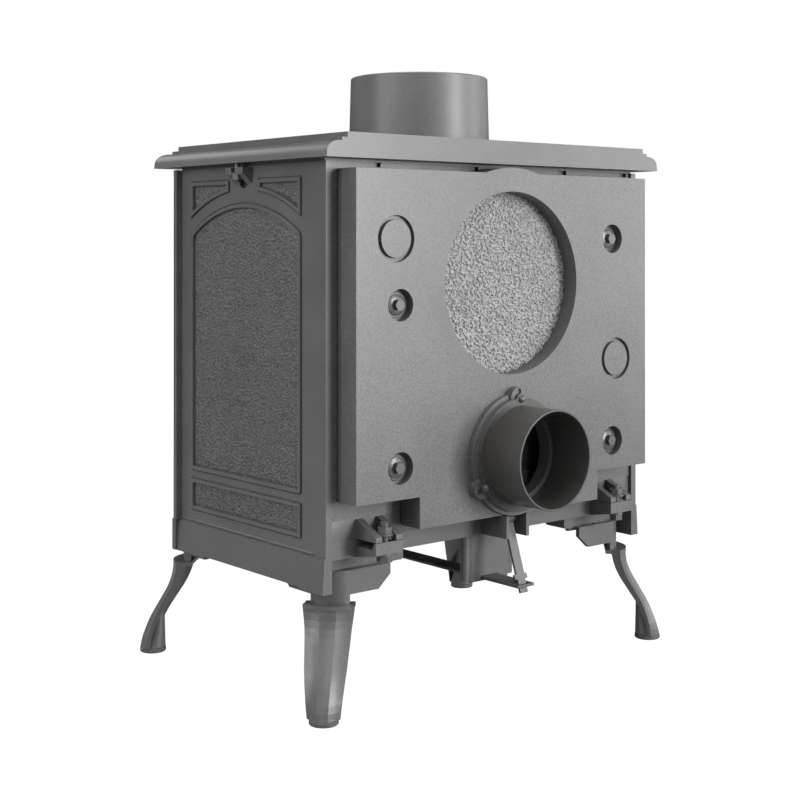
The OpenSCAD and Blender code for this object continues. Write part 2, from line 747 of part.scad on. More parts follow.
module leg_form() {
    difference() {
        union() {
            blade();
            hull() {
                rod_z(13.4, leg_reach, 0, [pad_h, pad_h + 1], $fn = 36);
                rod_z(4.5, leg_reach - 8, 0, [46, 47], $fn = 36);
            }
            rotate([0, 0, -45]) rotate_extrude(angle = 90) polygon([
                [leg_corner_r - leg_wall, neck_low - 1], [leg_corner_r, neck_low - 1],
                [leg_corner_r, wing_top], [leg_corner_r - leg_wall, wing_top]]);
            translate([0, 0, neck_low - 4]) intersection() {
                rod_z(leg_corner_r + 11, 0, 0, [0, 4], $fn = 48);
                slab([14, 40], [-24, 24], [0, 4]);
            }
            rotate([0, 0, -45]) {
                bracket_wing();
                mirror([1, -1, 0]) bracket_wing();
                rod_z(leg_corner_r - leg_wall + 0.5, 0, 0, [wing_top - 6, wing_top]);
                slab([-18, 0], [-18, leg_corner_r - leg_wall + 0.5], [wing_top - 6, wing_top]);
                slab([-18, leg_corner_r - leg_wall + 0.5], [-18, 0], [wing_top - 6, wing_top]);
            }
        }
        rod_z(4.3, 0, 0, [wing_top - 7, wing_top + 1]);
        rod_z(4.3, leg_reach, 0, [pad_h - 1, pad_h + 13]);
    }
}

module leg_at(side, y, turn) {
    color(cast_mid) shell() translate([side * leg_x, y, 0]) rotate([0, 0, turn]) leg_form();
}

module leg_rear_right() { leg_at(1, rear_leg_y, 45); }
module leg_rear_left() { leg_at(-1, rear_leg_y, 135); }
module leg_front_right() { leg_at(1, front_leg_y, -45); }
module leg_front_left() { leg_at(-1, front_leg_y, -135); }

module foot_pads() {
    color(cast_dark) shell() for (x = [-foot_x, foot_x], y = [foot_rear, -foot_front])
        translate([x, y, 0]) {
            rotate_extrude() polygon([[0, 0], [pad_r - 0.8, 0], [pad_r, 0.8], [pad_r, 4],
                [pad_r - 1, pad_h], [0, pad_h]]);
            rod_z(4, 0, 0, [pad_h - 1, pad_h + 12]);
        }
}

module leg_bolts() {
    color(steel) shell() both_sides() for (y = [rear_leg_y, front_leg_y]) {
        rod_z(4, leg_x, y, [wing_top - 7, base_low + 3]);
        hex_z(7.4, leg_x, y, [wing_top - 12, wing_top - 6]);
    }
}

// Linkage that carries the front control to the inlet flap

// Plate with a half-round pillar at each end, hung from the base plate
module bar_guide_rear() {
    flat = 26;
    pillar = 4.8;
    rear = 123.5;
    low = 96.3;
    high = base_top - 7;
    neck = rail_rear - 8.2;
    color(cast_mid) shell() difference() {
        union() {
            slab([-flat - pillar, flat + pillar], [rear - 4.6, rear - 0.6], [low + 2, base_low]);
            slab([-flat, flat], [rear - 4, rear], [low, base_low]);
            both_sides()
                rod_z(pillar, flat + pillar - 0.5, rear - pillar + 0.2, [low + 2, base_low]);
            along_x([-flat - 6, flat + 6], [[neck - 20, high - 4], [neck - 4, high - 4],
                [neck - 4, base_low - 4], [rear - 2, base_low - 4], [rear - 2, base_low],
                [neck, base_low], [neck, high], [neck - 20, high]]);
        }
        slab([-bar_half - 0.5, bar_half + 0.5], [rear - 10, rear + 1],
            [bar_low - 0.3, bar_top + 0.3]);
    }
}

module bar_guide_front() {
    color(cast_mid) shell() difference() {
        union() {
            slab([-17, 17], [-150, -146], [94, base_low]);
            slab([-17, 17], [-150, -132], [base_low - 4, base_low]);
        }
        slab([-bar_half - 0.5, bar_half + 0.5], [-151, -145], [bar_low - 0.3, bar_top + 0.3]);
    }
}

slot_y = pivot_y + (pivot_z - (bar_low + bar_top) / 2) * tan(lever_lean);

module air_bar() {
    color(steel_dark) shell() difference() {
        slab([-bar_half, bar_half], [bar_front, bar_end], [bar_low, bar_top]);
        slab([-5.6, 5.6], [slot_y - 3.2, slot_y + 3.2], [bar_low - 1, bar_top + 1]);
    }
}

module air_knob() {
    fit = 0.2;
    color(steel) shell() difference() {
        turned_y(0, bar_front + 4, (bar_low + bar_top) / 2, [[0, 0], [12.5, 0], [14, 1.5],
            [14, 4], [11, 6], [9, 9], [11.5, 13], [11.5, 15], [9, 17], [0, 17]]);
        slab([-bar_half - fit, bar_half + fit], [bar_front - fit, bar_front + 5],
            [bar_low - fit, bar_top + fit]);
    }
}

module air_lever() {
    half = 5.5;
    color(steel) shell() translate([0, pivot_y, pivot_z]) rotate([lever_lean, 0, 0]) difference() {
        union() {
            slab([-half, half], [-1.5, 1.5], [-58, 14]);
            slab([-8.5, 8.5], [-1.5, 1.5], [-61.4, -56]);
            slab([-5, 5], [-1.5, 1.5], [-75, -60]);
            rod_x(4.6, 0, 0, [-half, half]);
        }
        rod_x(3 + run_gap, 0, 0, [-20, 20]);
    }
}

module inlet_flap() {
    color(steel) shell() translate([0, pivot_y, pivot_z]) rotate([lever_lean, 0, 0])
        slab([-flap_x, flap_x], [-1.5, 1.5], [14, 46]);
}

module lever_pin() {
    color(steel) shell() rod_x(3, pivot_y, pivot_z, [-18, 18]);
}

// Firebox lining

lining_low = 206;
grate_y = [-52.5 : 15 : 52.5];

module firebrick_side() {
    along_x([178, 203], [[-112, lining_low], [112, lining_low], [112, 322], [-60, 436],
        [-112, 436]]);
}

module firebrick_right() {
    color(brick) shell() firebrick_side();
}

module firebrick_left() {
    color(brick) shell() mirror([1, 0, 0]) firebrick_side();
}

module firebrick_back() {
    color(brick) shell() slab([-177.7, 177.7], [92, 116.5], [lining_low, 318]);
}

module baffle() {
    slope = (436 - 322) / 172;
    run = cos(atan(slope));
    t = 12 / run;
    color(brick) shell() along_x([-202, 202], [[112, 322], [112, 322 + t], [-60, 436 + t],
        [-60, 436]]);
}

module grate_frame() {
    color(cast_dark) shell() difference() {
        union() {
            slab([-202, 202], [-118, 118], [198, lining_low]);
            both_sides() slab([195, 202], [-118, 118], [ash_top, 199]);
            slab([-202, 202], [110, 118], [ash_top, 199]);
        }
        for (y = grate_y) slab([-70, 70], [y - 4, y + 4], [197, lining_low + 1]);
        slab([-port_half, port_half], [109, 119], [port_z[0] - 1, 197]);
    }
}

module log_guard() {
    color(cast_dark) shell() {
        slab([-140, 140], [-110, -104], [236, 242]);
        slab([-140, 140], [-110, -104], [lining_low, 211]);
        for (x = [-140 : 22.9 : 140]) slab([x, x + 5], [-110, -104], [210, 237]);
    }
}

module riddling_grate() {
    color(cast_dark) shell() difference() {
        union() {
            slab([-88, 88], [-68, 66], [192, 197.7]);
            slab([80, pull_x + 6], [-68, -58], [pull_z - 2.5, 196]);
        }
        for (y = grate_y) slab([-70, 70], [y - 4, y + 4], [191, 199]);
        rod_y(4, pull_x, pull_z, [-70, -62]);
    }
}

module riddling_rod() {
    color(steel) shell() rod_y(4, pull_x, pull_z, [-152, -62]);
}

module riddling_knob() {
    color(steel) shell() difference() {
        turned_y(pull_x, -148, pull_z, knob_outline(9, 24));
        rod_y(4, pull_x, pull_z, [-152, -147]);
    }
}

// Door

module window_block(y, inset) {
    along_y(y, arch_outline(0, window_top - window_r, window_r, window_half, window_low, 14,
        inset));
}

module door_spandrel(y, inset) {
    along_y(y, spandrel_outline(0, window_top - window_r, window_r + 14, 36, 150, door_top - 8,
        inset));
}

module door_panels(y, inset) {
    slab([-150 + inset, 150 - inset], y, [door_low + 12 + inset, door_low + 46 - inset]);
    both_sides() door_spandrel(y, inset);
}

seal_x = 158;
seal_low = 212;
seal_high = 490;

module door_frame() {
    proud = 1.2;
    color(cast_mid) shell() difference() {
        union() {
            slab([-door_x, door_x], [door_front, door_back], [door_low, door_top]);
            difference() {
                door_panels([door_front - proud, door_front + 2], quirk_in);
                door_panels([door_front - 3, door_front + 3], bead);
            }
            window_block([door_front - 2.5, door_front + 1], -7);
            for (z = [262, 420]) {
                slab([-hinge_x, -door_x + 2], [door_front, -136.5], [z, z + 26]);
                rod_z(8, -hinge_x, hinge_y, [z, z + 26]);
            }
            rod_y(13, shaft_x, shaft_z, [door_front - 4, door_front + 1]);
        }
        door_panels([door_front - 3, door_front + 1.5], bead);
        difference() {
            door_panels([door_front - 3, door_front + quirk_deep], -quirk_out);
            door_panels([door_front - 4, door_front + 2], quirk_in);
        }
        window_block([door_front - 4, door_back + 1], 0);
        for (z = [262, 420]) rod_z(4 + run_gap, -hinge_x, hinge_y, [z - 1, z + 27]);
        rod_y(6 + run_gap, shaft_x, shaft_z, [door_front - 5, door_back + 1]);
        difference() {
            slab([-seal_x - 3.5, seal_x + 3.5], [-137.5, door_back + 1],
                [seal_low - 3.5, seal_high + 3.5]);
            slab([-seal_x + 3.5, seal_x - 3.5], [-138, door_back + 2],
                [seal_low + 3.5, seal_high - 3.5]);
        }
        for (x = [-80, 80], z = [254, 478]) rod_y(2.8, x, z, [-142, door_back + 1]);
    }
}

module door_rope_seal() {
    back = plate_front - free_gap;
    r = (back + 137.5) / 2;
    y = back - r;
    color(rope) shell() {
        for (x = [-seal_x, seal_x]) translate([x, y, seal_low]) cylinder(r = r,
            h = seal_high - seal_low);
        for (z = [seal_low, seal_high]) rod_x(r, y, z, [-seal_x, seal_x]);
        for (x = [-seal_x, seal_x], z = [seal_low, seal_high]) translate([x, y, z]) sphere(r = r);
    }
}

glass_low = 258;
glass_top = 474;

module glass_gasket() {
    color(rope) shell() difference() {
        slab([-glass_half, glass_half], [door_back, door_back + 1.5], [glass_low, glass_top]);
        window_block([door_back - 1, door_back + 3], -1);
    }
}

module door_glass() {
    color(pane) shell() slab([-glass_half, glass_half], [door_back + 1.5, door_back + 5.5],
        [glass_low, glass_top]);
}

module glass_clips() {
    y = [door_back + 5.5, door_back + 7];
    color(steel) shell() for (x = [-80, 80]) {
        difference() {
            union() {
                slab([x - 12, x + 12], y, [glass_top - 8, glass_top + 10]);
                slab([x - 12, x + 12], [door_back, y[1]], [glass_top + 8, glass_top + 10]);
            }
            rod_y(2.8, x, 478, [door_back - 1, y[1] + 1]);
        }
        difference() {
            union() {
                slab([x - 12, x + 12], y, [glass_low - 10, glass_low + 8]);
                slab([x - 12, x + 12], [door_back, y[1]], [glass_low - 10, glass_low - 8]);
            }
            rod_y(2.8, x, 254, [door_back - 1, y[1] + 1]);
        }
    }
}

module glass_screws() {
    color(steel) shell() for (x = [-80, 80], z = [254, 478]) {
        rod_y(2.5, x, z, [-141, door_back + 7]);
        rod_y(4.2, x, z, [door_back + 7, door_back + 9.5]);
    }
}

module handle_shaft() {
    color(steel) shell() rod_y(6, shaft_x, shaft_z, [-168, -112.5]);
}

module latch_cam() {
    y = [side_front + 4.5, side_front + 10.5];
    color(steel) shell() difference() {
        union() {
            rod_y(9, shaft_x, shaft_z, y);
            slab([shaft_x - 5, shaft_x + 5], y, [shaft_z - 25, shaft_z]);
        }
        rod_y(6, shaft_x, shaft_z, [y[0] - 1, y[1] + 1]);
    }
}

module handle_grip() {
    hub = [-168, -155];
    color(steel) shell() difference() {
        union() {
            rod_y(10, shaft_x, shaft_z, hub);
            translate([shaft_x, hub[0] + 6, shaft_z]) rotate([0, -90, 0]) rotate_extrude()
                polygon(concat([[0, 0], [5, 0], [5, 14], [6.5, 22]],
                    oval(0, 66, 9.5, 26, -45, 90, 12)));
        }
        rod_y(6, shaft_x, shaft_z, [hub[0] - 1, hub[1] + 1]);
    }
}

// Ash pan

module ash_pan() {
    wall = 2;
    low = base_top + 0.4;
    color(steel_dark) shell() difference() {
        slab([-144, 144], [plate_front - 0.4, 100], [low, 186]);
        slab([-144 + wall, 144 - wall], [plate_front + wall, 100 - wall], [low + wall, 187]);
    }
}

module ash_pan_front() {
    y = [plate_front - 9, plate_front - 0.4];
    x = 158;
    z = [160.5, 198];
    color(cast_mid) shell() difference() {
        union() {
            slab([-x, x], [y[0] + 1.2, y[1]], z);
            difference() {
                slab([-x + 4, x - 4], [y[0], y[0] + 2], [z[0] + 4, z[1] - 4]);
                slab([-x + 8, x - 8], [y[0] - 1, y[0] + 3], [z[0] + 8, z[1] - 8]);
            }
        }
        slab([-x + 8, x - 8], [y[0] - 1, y[0] + 2.4], [z[0] + 8, z[1] - 8]);
        rod_y(3.3, 0, 179, [y[0] - 1, y[1] + 1]);
    }
}

module ash_pan_knob() {
    y = plate_front - 6.6;
    color(steel) shell() {
        turned_y(0, y, 179, knob_outline(11, 26));
        rod_y(3, 0, 179, [y, plate_front - 0.4]);
    }
}

// Airwash slider

module airwash_slider() {
    color(cast_mid) shell() difference() {
        slab([-118, 118], [plate_front - 3.6, plate_front - free_gap], [503, 518]);
        for (x = vent_x) slab([x - 8, x + 8], [plate_front - 4, plate_front], [508, 513]);
    }
}

module airwash_knob() {
    color(steel) shell() turned_y(0, plate_front - 3.6, 510.5, knob_outline(6, 18));
}

top_plate();
flue_collar();
flue_collar_bolts();
side_plate_right();
side_plate_left();
back_plate();
rear_air_box();
flue_blanking_plate();
blanking_plate_bolts();
air_box_bolts();
front_frame();
ash_chamber_frame();
base_plate();
ash_lip();
clamp_bolts();
clamp_nuts();
clamp_washers();
hob_clamp_bolts();
leg_front_left();
leg_front_right();
leg_rear_left();
leg_rear_right();
foot_pads();
leg_bolts();
inlet_flange();
inlet_tube();
inlet_screws();
bar_guide_rear();
bar_guide_front();
firebrick_left();
firebrick_right();
firebrick_back();
baffle();
grate_frame();
log_guard();
latch_catch();
hinge_pins();
door_frame();
door_glass();
glass_gasket();
glass_clips();
glass_screws();
door_rope_seal();
handle_shaft();
latch_cam();
handle_grip();
ash_pan();
ash_pan_front();
ash_pan_knob();
air_bar();
air_knob();
air_lever();
inlet_flap();
lever_pin();
riddling_grate();
riddling_rod();
riddling_knob();
airwash_slider();
airwash_knob();
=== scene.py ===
import math

import bmesh
import bpy
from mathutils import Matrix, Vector, noise


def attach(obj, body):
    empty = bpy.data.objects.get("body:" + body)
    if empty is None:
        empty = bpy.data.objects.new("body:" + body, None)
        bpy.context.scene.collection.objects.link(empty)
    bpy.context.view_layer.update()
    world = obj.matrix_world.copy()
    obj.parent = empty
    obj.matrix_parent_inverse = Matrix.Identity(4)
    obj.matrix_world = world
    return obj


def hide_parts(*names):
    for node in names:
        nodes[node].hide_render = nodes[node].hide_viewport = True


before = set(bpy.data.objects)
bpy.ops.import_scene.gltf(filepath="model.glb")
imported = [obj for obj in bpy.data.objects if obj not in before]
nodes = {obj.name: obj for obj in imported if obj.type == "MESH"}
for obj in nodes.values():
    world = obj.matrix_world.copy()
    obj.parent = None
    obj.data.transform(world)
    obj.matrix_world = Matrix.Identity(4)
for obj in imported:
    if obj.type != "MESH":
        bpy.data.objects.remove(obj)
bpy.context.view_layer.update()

mm = 0.001
shellY = -8.0  # mm, middle of the firebox shell from the middle of the overall depth
print("frame loaded:", len(nodes), "castings and fittings")


# Small helpers

def linearColour(hexCode, alpha=1.0):
    channels = [int(hexCode[i:i + 2], 16) / 255 for i in (1, 3, 5)]
    return [c / 12.92 if c <= 0.04045 else ((c + 0.055) / 1.055) ** 2.4 for c in channels] + [alpha]


def addNode(tree, kind, settings=None, values=None, links=None):
    node = tree.nodes.new(kind)
    for key, value in (settings or {}).items():
        setattr(node, key, value)
    for key, value in (values or {}).items():
        node.inputs[key].default_value = value
    for key, (source, output) in (links or {}).items():
        tree.links.new(source.outputs[output], node.inputs[key])
    return node


def newMaterial(name):
    material = bpy.data.materials.new(name)
    material.use_nodes = True
    material.node_tree.nodes.clear()
    return material, material.node_tree


def setRamp(node, stops):
    ramp = node.color_ramp
    while len(ramp.elements) < len(stops):
        ramp.elements.new(0.5)
    for element, (place, colour) in zip(ramp.elements, stops):
        element.position = place
        element.color = colour
    return node


def dress(nodeNames, material):
    for name in nodeNames:
        data = nodes[name].data
        data.materials.clear()
        data.materials.append(material)


def finishMesh(name, bm, material, body, smooth=True):
    data = bpy.data.meshes.new(name)
    bm.normal_update()
    bm.to_mesh(data)
    bm.free()
    for face in data.polygons:
        face.use_smooth = smooth
    data.materials.append(material)
    piece = bpy.data.objects.new(name, data)
    bpy.context.scene.collection.objects.link(piece)
    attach(piece, body)
    return piece


# Materials

def stovePaint(name, look):
    # Heat-proof stove paint sprayed on a sand casting: matt to satin, with the sand's grain
    # showing through as a fine tooth, and slightly patchy.
    material, tree = newMaterial(name)
    spot = addNode(tree, "ShaderNodeTexCoord")
    grain = addNode(tree, "ShaderNodeTexNoise",
                    values={"Scale": 1 / (look["grainMm"] * mm), "Detail": 3.0, "Roughness": 0.6},
                    links={"Vector": (spot, "Object")})
    patch = addNode(tree, "ShaderNodeTexNoise",
                    values={"Scale": 1 / (look["patchMm"] * mm), "Detail": 4.0, "Roughness": 0.55},
                    links={"Vector": (spot, "Object")})
    speck = setRamp(addNode(tree, "ShaderNodeValToRGB", links={"Fac": (grain, "Fac")}), [
        (0.32, linearColour(look["dark"])), (0.5, linearColour(look["base"])),
        (0.7, linearColour(look["pale"]))])
    cloud = setRamp(addNode(tree, "ShaderNodeValToRGB", links={"Fac": (patch, "Fac")}), [
        (0.3, (0.90, 0.90, 0.90, 1)), (0.7, (1.08, 1.08, 1.07, 1))])
    colour = addNode(tree, "ShaderNodeMix", {"data_type": "RGBA", "blend_type": "MULTIPLY"},
                     {0: 1.0}, {6: (speck, "Color"), 7: (cloud, "Color")})
    rough = addNode(tree, "ShaderNodeMapRange",
                    values={"To Min": look["rough"] - 0.05, "To Max": look["rough"] + 0.07},
                    links={"Value": (patch, "Fac")})
    bump = addNode(tree, "ShaderNodeBump",
                   values={"Strength": 1.0, "Distance": look["grainDeepMm"] * mm},
                   links={"Height": (grain, "Fac")})
    if "pebbleMm" in look:
        lump = addNode(tree, "ShaderNodeTexNoise", values={
            "Scale": 1 / (look["pebbleMm"] * mm), "Detail": 0.0},
            links={"Vector": (spot, "Object")})
        dome = addNode(tree, "ShaderNodeMapRange", {"interpolation_type": "SMOOTHSTEP"},
                       {"From Min": 0.25, "From Max": 0.6}, {"Value": (lump, "Fac")})
        bump = addNode(tree, "ShaderNodeBump",
                       values={"Strength": 1.0, "Distance": look["pebbleDeepMm"] * mm},
                       links={"Height": (dome, "Result"), "Normal": (bump, "Normal")})
        # Darker where the pebbles dip: painted shade in the creases, scaled by crease
        paintedCreaseShade = addNode(tree, "ShaderNodeMapRange", values={"To Min": look["paintedCreaseShade"], "To Max": 1.0},
                         links={"Value": (dome, "Result")})
        colour = addNode(tree, "ShaderNodeMix", {"data_type": "RGBA", "blend_type": "MULTIPLY"},
                         {0: 1.0}, {6: (colour, 2), 7: (paintedCreaseShade, "Result")})
    shader = addNode(tree, "ShaderNodeBsdfPrincipled",
                     values={"IOR": 1.5, "Specular IOR Level": look["gloss"]},
                     links={"Base Color": (colour, 2), "Roughness": (rough, "Result"),
                            "Normal": (bump, "Normal")})
    addNode(tree, "ShaderNodeOutputMaterial", links={"Surface": (shader, "BSDF")})
    return material


def platedSteel(name, look):
    # Zinc-plated steel that has dulled with heat: a soft metal sheen with fine scuffs.
    material, tree = newMaterial(name)
    spot = addNode(tree, "ShaderNodeTexCoord")
    scuff = addNode(tree, "ShaderNodeTexNoise",
                    values={"Scale": 1 / (look["scuffMm"] * mm), "Detail": 4.0, "Roughness": 0.6},
                    links={"Vector": (spot, "Object")})
    colour = setRamp(addNode(tree, "ShaderNodeValToRGB", links={"Fac": (scuff, "Fac")}), [
        (0.3, linearColour(look["dark"])), (0.7, linearColour(look["base"]))])
    rough = addNode(tree, "ShaderNodeMapRange",
                    values={"To Min": look["rough"] - 0.08, "To Max": look["rough"] + 0.1},
                    links={"Value": (scuff, "Fac")})
    bump = addNode(tree, "ShaderNodeBump", values={"Strength": 0.6, "Distance": 0.05 * mm},
                   links={"Height": (scuff, "Fac")})
    shader = addNode(tree, "ShaderNodeBsdfPrincipled", values={"Metallic": look["metal"]},
                     links={"Base Color": (colour, "Color"), "Roughness": (rough, "Result"),
                            "Normal": (bump, "Normal")})
    addNode(tree, "ShaderNodeOutputMaterial", links={"Surface": (shader, "BSDF")})
    return material


def vermiculiteBoard():
    # Pressed vermiculite: buff, dry and open, with glinting flakes of about 3 mm.
    look = {"base": "#c9b795", "dark": "#a08a66", "pale": "#e0d3b4", "flakeMm": 3.0}
    material, tree = newMaterial("pressedVermiculiteBoard")
    spot = addNode(tree, "ShaderNodeTexCoord")
    flake = addNode(tree, "ShaderNodeTexVoronoi",
                    values={"Scale": 1 / (look["flakeMm"] * mm), "Randomness": 1.0},
                    links={"Vector": (spot, "Object")})
    tone = addNode(tree, "ShaderNodeSeparateColor", links={"Color": (flake, "Color")})
    colour = setRamp(addNode(tree, "ShaderNodeValToRGB", links={"Fac": (tone, "Red")}), [
        (0.0, linearColour(look["dark"])), (0.5, linearColour(look["base"])),
        (1.0, linearColour(look["pale"]))])
    bump = addNode(tree, "ShaderNodeBump", values={"Strength": 0.7, "Distance": 0.4 * mm},
                   links={"Height": (flake, "Distance")})
    shader = addNode(tree, "ShaderNodeBsdfPrincipled", values={"Roughness": 0.9},
                     links={"Base Color": (colour, "Color"), "Normal": (bump, "Normal")})
    addNode(tree, "ShaderNodeOutputMaterial", links={"Surface": (shader, "BSDF")})
    return material


def knittedGlassRope():
    # Knitted glass-fibre rope: off-white yarn, dry and matt, in a slanting knit.
    look = {"base": "#d8d4c8", "dark": "#8f8b80", "yarnMm": 1.6}
    material, tree = newMaterial("knittedGlassRope")
    spot = addNode(tree, "ShaderNodeTexCoord")
    yarn = addNode(tree, "ShaderNodeTexWave", {"bands_direction": "DIAGONAL"},
                   {"Scale": 0.314 / (look["yarnMm"] * mm), "Distortion": 2.0, "Detail": 2.0},
                   {"Vector": (spot, "Object")})
    colour = setRamp(addNode(tree, "ShaderNodeValToRGB", links={"Fac": (yarn, "Fac")}), [
        (0.1, linearColour(look["dark"])), (0.6, linearColour(look["base"]))])
    bump = addNode(tree, "ShaderNodeBump", values={"Strength": 0.8, "Distance": 0.4 * mm},
                   links={"Height": (yarn, "Fac")})
    shader = addNode(tree, "ShaderNodeBsdfPrincipled", values={"Roughness": 0.95},
                     links={"Base Color": (colour, "Color"), "Normal": (bump, "Normal")})
    addNode(tree, "ShaderNodeOutputMaterial", links={"Surface": (shader, "BSDF")})
    return material


def ceramicGlass():
    # Clear ceramic stove glass: very smooth, a little smoked by use.
    material, tree = newMaterial("clearCeramicGlass")
    spot = addNode(tree, "ShaderNodeTexCoord")
    smoke = addNode(tree, "ShaderNodeTexNoise", values={"Scale": 1 / (45 * mm), "Detail": 3.0},
                    links={"Vector": (spot, "Object")})
    colour = setRamp(addNode(tree, "ShaderNodeValToRGB", links={"Fac": (smoke, "Fac")}), [
        (0.3, linearColour("#c9cdca")), (0.7, linearColour("#e9efec"))])
    shader = addNode(tree, "ShaderNodeBsdfPrincipled",
                     values={"Roughness": 0.04, "IOR": 1.52, "Transmission Weight": 0.92},
                     links={"Base Color": (colour, "Color")})
    addNode(tree, "ShaderNodeOutputMaterial", links={"Surface": (shader, "BSDF")})
    return material


castLook = {"base": "#4d4d4d", "dark": "#464646", "pale": "#555555", "rough": 0.36,
            "gloss": 0.5, "grainMm": 1.3, "grainDeepMm": 0.03, "patchMm": 70}
shellPaint = stovePaint("stovePaintOnSandCastIron", castLook)
rearPaint = stovePaint("stovePaintOnGrittySandCasting", dict(
    castLook, dark="#424242", pale="#5a5a5a", grainMm=1.5, grainDeepMm=0.09))
collarPaint = stovePaint("stovePaintOnFlueCollar", dict(castLook, rough=0.43))
# Pebbled field paint; crease sets how much darker its creases are painted, as painted shade
fieldPaint = stovePaint("stovePaintOnPebbledCasting", dict(
    castLook, rough=0.5, grainMm=1.2, grainDeepMm=0.03, pebbleMm=2.0, pebbleDeepMm=0.45,
    paintedCreaseShade=0.52))
# A paler copy of the cast paint: its extra brightness is painted light on the disc, and its creases
# are darkened as painted shade
discPaintPaledForLight = stovePaint("stovePaintOnCoarseCastingPaledAsLight", dict(
    castLook, base="#888888", dark="#7f7f7f", pale="#919191", grainMm=1.2, grainDeepMm=0.05,
    rough=0.45, pebbleMm=1.9, pebbleDeepMm=0.5, paintedCreaseShade=0.5))
sheetPaint = stovePaint("stovePaintOnRolledSheetSteel", dict(
    castLook, base="#3a3938", dark="#353433", pale="#403f3d", grainMm=0.9, grainDeepMm=0.01,
    rough=0.33))
# Near-black rope for the air box seal, dark enough to paint the shade line along the joint
graphiteRopeAndJointShade = stovePaint("graphiteRopeAndJointShade", dict(
    castLook, base="#161616", dark="#121212", pale="#1c1c1c", grainDeepMm=0.05, rough=0.7))
barPaint = stovePaint("blackenedFlatSteel", dict(
    castLook, base="#484542", dark="#3e3b39", pale="#524f4c", grainDeepMm=0.02, rough=0.45))
fittingPaint = stovePaint("stovePaintOnSteelFittings", dict(
    castLook, base="#464646", dark="#404040", pale="#4e4e4e", grainMm=0.8, grainDeepMm=0.01,
    rough=0.3))
boltSteel = platedSteel("dulledZincPlatedSteel", {
    "base": "#8a8885", "dark": "#6b6966", "rough": 0.42, "scuffMm": 2.5, "metal": 0.85})
knobSteel = platedSteel("satinTurnedSteel", {
    "base": "#b9b7b4", "dark": "#9b9996", "rough": 0.3, "scuffMm": 1.5, "metal": 1.0})
brickBoard = vermiculiteBoard()
ropeKnit = knittedGlassRope()
paneGlass = ceramicGlass()

dress(["flue_collar"], collarPaint)
dress(["top_plate", "side_plate_right", "side_plate_left", "front_frame",
       "ash_lip", "leg_front_left", "leg_front_right", "leg_rear_left", "leg_rear_right",
       "bar_guide_rear", "bar_guide_front", "grate_frame", "log_guard", "door_frame",
       "ash_pan_front", "riddling_grate", "airwash_slider"], shellPaint)
dress(["back_plate", "rear_air_box", "ash_chamber_frame", "base_plate", "inlet_flange"], rearPaint)
dress(["flue_blanking_plate"], discPaintPaledForLight)
dress(["inlet_tube", "ash_pan"], sheetPaint)
dress(["air_bar", "foot_pads"], barPaint)
dress(["air_lever", "inlet_flap", "air_box_bolts", "clamp_bolts", "clamp_nuts", "clamp_washers",
       "hob_clamp_bolts", "inlet_screws", "lever_pin", "hinge_pins"], fittingPaint)
dress(["flue_collar_bolts", "blanking_plate_bolts", "leg_bolts", "latch_catch", "glass_clips",
       "glass_screws", "handle_shaft", "latch_cam", "riddling_rod"], boltSteel)
dress(["handle_grip", "ash_pan_knob", "air_knob", "riddling_knob", "airwash_knob"], knobSteel)
dress(["firebrick_left", "firebrick_right", "firebrick_back", "baffle"], brickBoard)
dress(["door_rope_seal", "glass_gasket"], ropeKnit)
dress(["door_glass"], paneGlass)
print("materials made")


# Softened casting edges

edgeRounds = {  # mm
    "top_plate": 1.0, "flue_collar": 0.8, "side_plate_right": 0.45, "side_plate_left": 0.45,
    "ash_lip": 1.0, "back_plate": 0.5, "rear_air_box": 0.35,
    "ash_chamber_frame": 0.4, "base_plate": 0.4, "bar_guide_rear": 0.9, "bar_guide_front": 0.8,
    "door_frame": 0.8, "ash_pan_front": 0.8, "inlet_flange": 0.6, "inlet_tube": 0.3,
    "air_lever": 0.4, "air_bar": 0.5, "clamp_nuts": 0.4, "clamp_bolts": 0.4,
    "clamp_washers": 0.3, "air_box_bolts": 0.4, "hob_clamp_bolts": 0.4, "leg_bolts": 0.4,
    "grate_frame": 0.8, "log_guard": 0.8, "airwash_slider": 0.4, "latch_cam": 0.5,
    "inlet_flap": 0.4, "ash_pan": 0.4,
}
castEdge = {"weldMm": 0.002, "segments": 2, "sharperThan": 38, "faceWeight": 100}
for nodeName, width in edgeRounds.items():
    node = nodes[nodeName]
    weld = node.modifiers.new("joinFaces", "WELD")
    weld.merge_threshold = castEdge["weldMm"] * mm
    soften = node.modifiers.new("castEdge", "BEVEL")
    soften.width = width * mm
    soften.segments = castEdge["segments"]
    soften.limit_method = "ANGLE"
    soften.angle_limit = math.radians(castEdge["sharperThan"])
    soften.use_clamp_overlap = True
    level = node.modifiers.new("evenShade", "WEIGHTED_NORMAL")
    level.keep_sharp = False
    level.weight = castEdge["faceWeight"]
print("edges softened")


# Pebbled and crinkled fields

def arcPoints(cx, cz, r, start, end, steps):
    turns = [math.radians(start + (end - start) * i / steps) for i in range(steps + 1)]
    return [(cx + r * math.cos(t), cz + r * math.sin(t)) for t in turns]


def archOutline(cx, cz, r, half, low, haunch, inset):
    h, hx = haunch - inset, half - haunch
    hz = math.sqrt((r - haunch) ** 2 - hx * hx)
    turn = math.degrees(math.atan2(hz, hx))
    return ([(cx - half + inset, low + inset), (cx + half - inset, low + inset)]
            + arcPoints(cx + hx, cz + hz, h, 0, turn, 6)
            + arcPoints(cx, cz, r - inset, turn, 180 - turn, 30)
            + arcPoints(cx - hx, cz + hz, h, 180 - turn, 180, 6))


def spandrelOutline(cx, cz, r, near, far, top, inset, flip=1):
    farTurn = math.degrees(math.acos((far - inset) / (r + inset)))
    nearTurn = math.degrees(math.acos((near + inset) / (r + inset)))
    corners = [(near + inset, top - inset), (far - inset, top - inset)]
    points = arcPoints(0, cz, r + inset, farTurn, nearTurn, 14) + corners
    return [(cx + flip * x, z) for x, z in points]


def boxOutline(left, right, low, high):
    return [(left, low), (right, low), (right, high), (left, high)]


